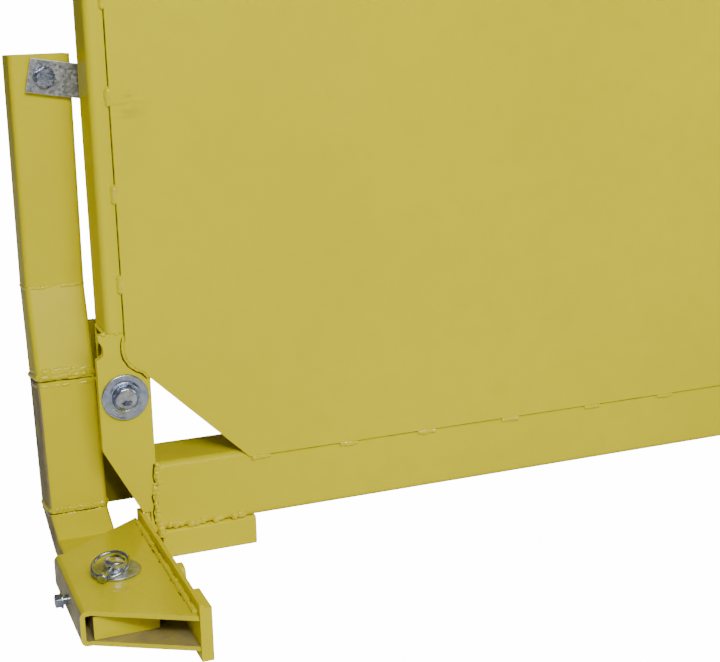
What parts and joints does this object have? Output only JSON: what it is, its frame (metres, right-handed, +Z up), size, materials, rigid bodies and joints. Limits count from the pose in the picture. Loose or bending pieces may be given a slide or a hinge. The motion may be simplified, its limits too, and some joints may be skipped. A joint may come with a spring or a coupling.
{
  "type": "skid steer bucket",
  "caption": "Hopper bucket with a tube-framed front panel, rear hitch plate, and swing arms held by pins in folded boxes at the front corners.",
  "frame": {"origin": "centre of the footprint, on the ground", "axes": "+X across the bucket to its right as seen from the front panel, +Y from the front panel towards the machine, +Z up"},
  "size_m": [2.0088, 0.88, 0.86],
  "materials": {
    "yellow_paint": "glossy yellow powder coat over welded steel",
    "zinc_plate": "bright zinc plating"
  },
  "bodies": {
    "frame": {"bottom_beam": "yellow_paint", "front_sheet": "yellow_paint", "hitch_flange": "yellow_paint", "hitch_lip": "yellow_paint", "hitch_plate": "yellow_paint", "hopper_back": "yellow_paint", "hopper_floor": "yellow_paint", "hopper_front": "yellow_paint", "hopper_rim": "yellow_paint", "left_bracket_plate": "yellow_paint", "left_foot": "yellow_paint", "left_front_ear": "yellow_paint", "left_hinge_pin": "zinc_plate", "left_hinge_washer": "zinc_plate", "left_hook_bar": "yellow_paint", "left_hopper_side": "yellow_paint", "left_inner_saddle": "yellow_paint", "left_mid_post": "yellow_paint", "left_outer_saddle": "yellow_paint", "left_pin_box": "yellow_paint", "left_post": "yellow_paint", "left_rear_ear": "yellow_paint", "left_rim": "yellow_paint", "right_bracket_plate": "yellow_paint", "right_foot": "yellow_paint", "right_front_ear": "yellow_paint", "right_hinge_pin": "zinc_plate", "right_hinge_washer": "zinc_plate", "right_hook_bar": "yellow_paint", "right_hopper_side": "yellow_paint", "right_inner_saddle": "yellow_paint", "right_mid_post": "yellow_paint", "right_outer_saddle": "yellow_paint", "right_pin_box": "yellow_paint", "right_post": "yellow_paint", "right_rear_ear": "yellow_paint", "right_rim": "yellow_paint", "top_beam": "yellow_paint"},
    "left_arm": {"left_arm_upper": "yellow_paint", "left_arm_bend": "yellow_paint", "left_arm_lower": "yellow_paint", "left_arm_toe": "yellow_paint", "left_strap_bolt": "zinc_plate"},
    "left_strap": {"left_strap": "zinc_plate"},
    "left_lynch": {"left_lynch_pin": "zinc_plate"},
    "left_ring": {"left_lynch_ring": "zinc_plate"},
    "left_set_screw": {"left_set_bolt": "zinc_plate"},
    "left_main_pin": {"left_corner_pin": "zinc_plate", "left_corner_washer": "zinc_plate"},
    "right_arm": {"right_arm_upper": "yellow_paint", "right_arm_bend": "yellow_paint", "right_arm_lower": "yellow_paint", "right_arm_toe": "yellow_paint", "right_strap_bolt": "zinc_plate"},
    "right_strap": {"right_strap": "zinc_plate"},
    "right_lynch": {"right_lynch_pin": "zinc_plate"},
    "right_ring": {"right_lynch_ring": "zinc_plate"},
    "right_set_screw": {"right_set_bolt": "zinc_plate"},
    "right_main_pin": {"right_corner_pin": "zinc_plate", "right_corner_washer": "zinc_plate"}
  },
  "joints": [
    {"name": "left_arm_swing", "type": "hinge", "parent": "frame", "child": "left_arm", "pos_m": [-0.9415, -0.3077, 0.0463], "axis": [0, 0, 1], "range_deg": [0, 6]},
    {"name": "left_strap_swing", "type": "hinge", "parent": "left_arm", "child": "left_strap", "pos_m": [-0.9477, -0.1341, 0.5245], "axis": [0, 1, 0], "range_deg": [-95, 75]},
    {"name": "left_lynch_slide", "type": "slide", "parent": "frame", "child": "left_lynch", "axis": [-0.6, -0.8, 0], "range_m": [0, 0.034]},
    {"name": "left_ring_flip", "type": "hinge", "parent": "left_lynch", "child": "left_ring", "pos_m": [-0.95878, -0.33074, 0.0529], "axis": [0.8, -0.6, 0], "range_deg": [0, 110]},
    {"name": "left_set_slide", "type": "slide", "parent": "frame", "child": "left_set_screw", "axis": [-1, 0, 0], "range_m": [0, 0.009]},
    {"name": "left_main_pin_slide", "type": "slide", "parent": "frame", "child": "left_main_pin", "axis": [0, -1, 0], "range_m": [0, 0.085]},
    {"name": "right_arm_swing", "type": "hinge", "parent": "frame", "child": "right_arm", "pos_m": [0.9415, -0.3077, 0.0463], "axis": [0, 0, -1], "range_deg": [0, 6]},
    {"name": "right_strap_swing", "type": "hinge", "parent": "right_arm", "child": "right_strap", "pos_m": [0.9477, -0.1341, 0.5245], "axis": [0, -1, 0], "range_deg": [-95, 75]},
    {"name": "right_lynch_slide", "type": "slide", "parent": "frame", "child": "right_lynch", "axis": [0.6, -0.8, 0], "range_m": [0, 0.034]},
    {"name": "right_ring_flip", "type": "hinge", "parent": "right_lynch", "child": "right_ring", "pos_m": [0.95878, -0.33074, 0.0529], "axis": [0.8, 0.6, 0], "range_deg": [0, 110]},
    {"name": "right_set_slide", "type": "slide", "parent": "frame", "child": "right_set_screw", "axis": [1, 0, 0], "range_m": [0, 0.009]},
    {"name": "right_main_pin_slide", "type": "slide", "parent": "frame", "child": "right_main_pin", "axis": [0, -1, 0], "range_m": [0, 0.085]}
  ]
}
